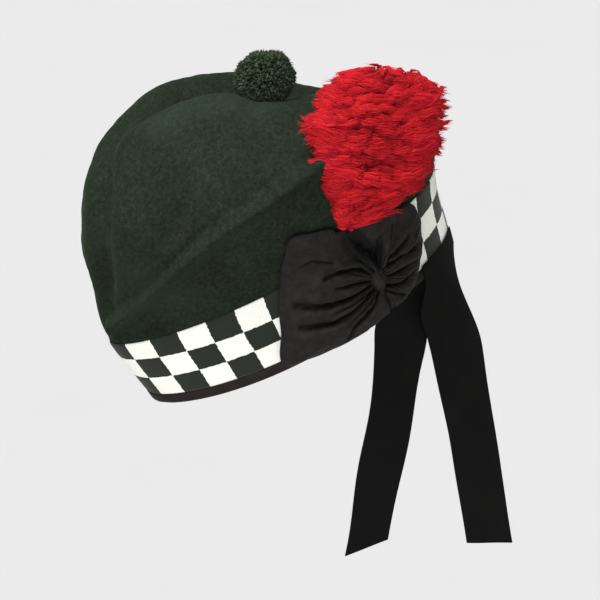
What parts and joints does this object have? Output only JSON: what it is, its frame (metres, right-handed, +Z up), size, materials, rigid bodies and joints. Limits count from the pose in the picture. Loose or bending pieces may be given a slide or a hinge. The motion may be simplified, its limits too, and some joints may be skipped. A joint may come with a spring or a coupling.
{
  "type": "glengarry",
  "caption": "Boat-shaped felt bonnet with a creased crown, diced band, bound rim, ribbon cockade, feather hackle, wool toorie and hanging ribbon tails.",
  "frame": {"origin": "middle of the head opening, level with the middle of its rim", "axes": "+Z up as the wearer's head is upright, -Y the way the wearer faces, +X to the wearer's left; the bonnet's own length is tipped 23 degrees nose-down about X"},
  "size_m": [0.1993, 0.2794, 0.3326],
  "materials": {
    "felt": "milled wool felt, matt",
    "dicing": "knitted wool squares, off-white and bottle green",
    "binding": "black ribbed silk tape, soft sheen",
    "taffeta": "black silk ribbon, gathered, soft sheen",
    "ribbon": "black ribbed ribbon, matt",
    "feather": "dyed red hackle feathers, soft",
    "pile": "cut wool pile"
  },
  "bodies": {
    "root": {"crown": "felt", "diced_band": "dicing", "binding": "binding", "toorie": "pile", "hackle": "feather", "cockade_front_loop": "taffeta", "cockade_top_loop": "taffeta", "cockade_back_loop": "taffeta", "cockade_knot": "taffeta", "tail_left": "ribbon", "tail_right": "ribbon"}
  },
  "joints": []
}
